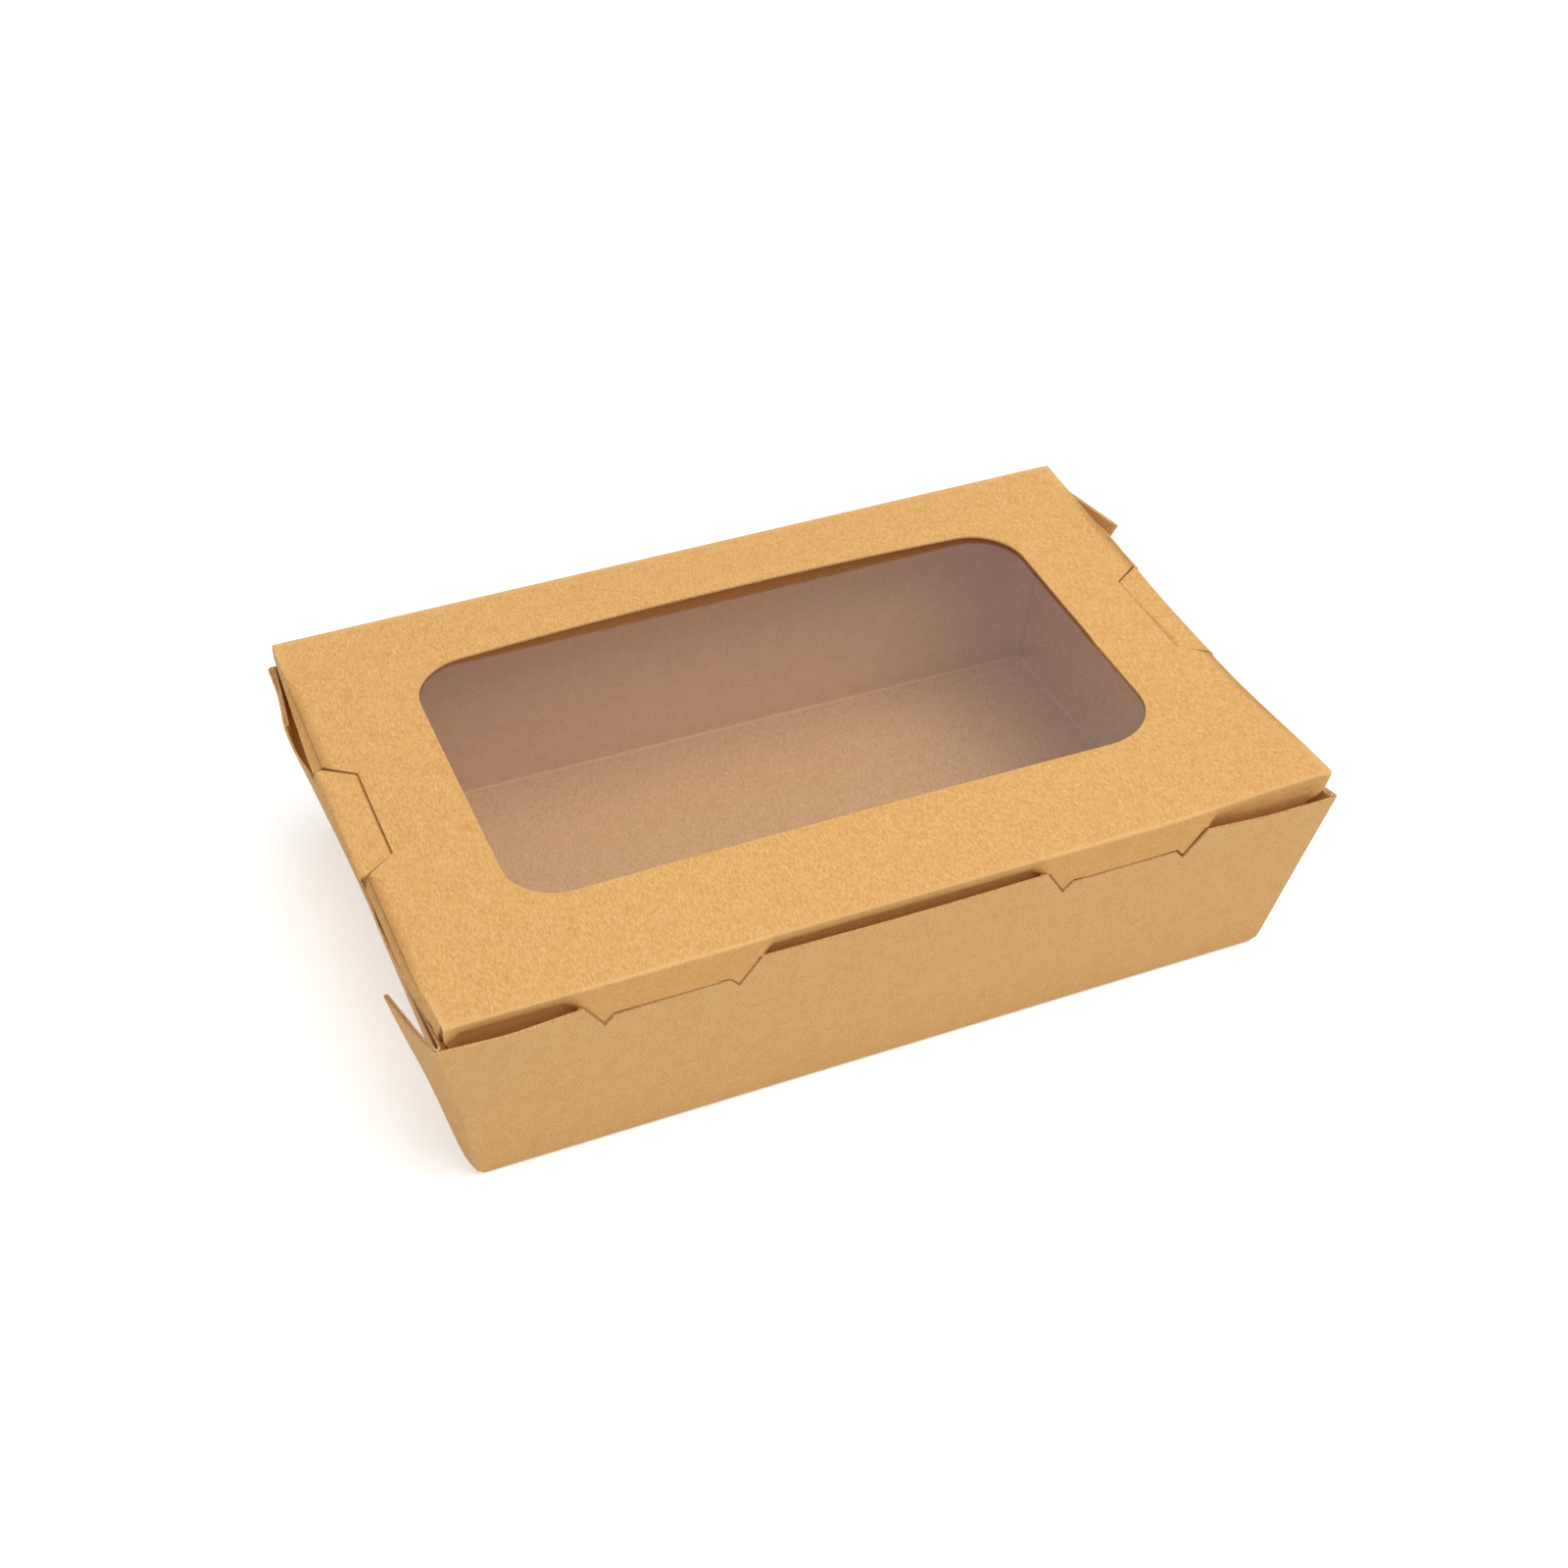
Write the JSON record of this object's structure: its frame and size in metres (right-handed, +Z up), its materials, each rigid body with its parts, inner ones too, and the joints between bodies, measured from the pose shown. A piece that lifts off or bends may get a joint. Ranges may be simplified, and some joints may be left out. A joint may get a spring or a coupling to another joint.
{
  "type": "kraft lunch box",
  "caption": "Folded kraft board takeaway box with webbed corners, a hinged windowed lid, side locking tongues and front tuck tongues.",
  "frame": {"origin": "middle of the underside, on the surface the box stands on", "axes": "+Z up, X along the long side, -Y towards the front wall, the lid hinges along the back at +Y"},
  "size_m": [0.1898, 0.1202, 0.048],
  "materials": {
    "kraft_tray": "uncoated kraft board",
    "kraft_lid": "uncoated kraft board",
    "window_film": "clear film"
  },
  "bodies": {
    "tray": {"tray": "kraft_tray"},
    "lid": {"lid": "kraft_lid", "window_film": "window_film"}
  },
  "joints": [
    {"name": "lid_hinge", "type": "hinge", "parent": "tray", "child": "lid", "pos_m": [0, 0.0602, 0.048], "axis": [-1, 0, 0], "range_deg": [0, 180]}
  ]
}
